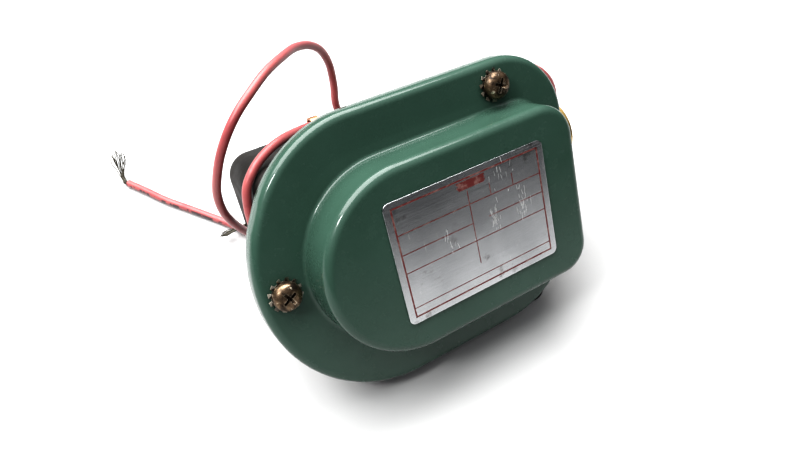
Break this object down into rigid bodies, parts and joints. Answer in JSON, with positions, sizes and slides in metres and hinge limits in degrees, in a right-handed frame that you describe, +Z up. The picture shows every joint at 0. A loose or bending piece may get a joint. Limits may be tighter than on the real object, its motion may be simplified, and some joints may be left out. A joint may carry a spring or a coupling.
{
  "type": "solenoid valve",
  "caption": "Solenoid valve with a stepped D-shaped steel cover, nameplate, black rear housing, brass body and loose lead wires, resting on its back edge.",
  "frame": {"origin": "centre of the footprint of the body without its free leads, on the floor that it rests on", "axes": "+X along the cover to the viewer's right, +Y away from the cover's face, +Z up; the face leans back 24.8 degrees"},
  "size_m": [0.1578, 0.1715, 0.0885],
  "materials": {
    "green_enamel": "glossy baked enamel, a little chipped",
    "plate_aluminium": "brushed, with printed rules",
    "tarnished_steel": "dark tarnish with bright worn edges",
    "spring_steel": "bright, worn",
    "stainless": "turned stainless steel",
    "mild_steel": "zinc plated",
    "brass": "machined, slightly dull",
    "copper": "copper, dull",
    "black_enamel": "matte to satin black",
    "black_rubber": "moulded rubber",
    "tan_rubber": "moulded tan rubber",
    "phenolic": "brown moulded phenolic",
    "cloth_tape": "varnished cloth tape",
    "red_insulation": "faded red lead insulation",
    "tinned_copper": "oxidised tinned strands"
  },
  "bodies": {
    "valve": {"base_plate": "black_enamel", "body_screw_1": "mild_steel", "body_screw_2": "mild_steel", "bonnet": "brass", "bonnet_seal": "black_rubber", "coil_bobbin": "phenolic", "coil_winding": "copper", "coil_wrap": "cloth_tape", "core_tube": "stainless", "cover_bush_left": "brass", "cover_bush_right": "brass", "cover_gasket": "black_rubber", "cover_screw_left": "tarnished_steel", "cover_screw_right": "tarnished_steel", "cover_shell": "green_enamel", "fixed_core": "mild_steel", "housing_screw_1": "mild_steel", "housing_screw_2": "mild_steel", "housing_screw_3": "mild_steel", "housing_screw_4": "mild_steel", "lead_clip": "copper", "lead_grommet": "tan_rubber", "lead_strands_1": "tinned_copper", "lead_strands_2": "tinned_copper", "lead_wire_1": "red_insulation", "lead_wire_2": "red_insulation", "lock_washer_left": "spring_steel", "lock_washer_right": "spring_steel", "nameplate": "plate_aluminium", "rear_housing": "black_enamel", "retaining_clip": "mild_steel", "return_spring": "stainless", "valve_body": "brass", "yoke_frame": "mild_steel", "yoke_plate": "mild_steel"},
    "plunger": {"plunger": "stainless", "seat_disc": "black_rubber"}
  },
  "joints": [
    {"name": "plunger_slide", "type": "slide", "parent": "valve", "child": "plunger", "axis": [-1, 0, 0], "range_m": [0, 0.003], "stiffness_N_per_m": 300, "springref_m": -0.003, "deforming": ["return_spring"]}
  ]
}
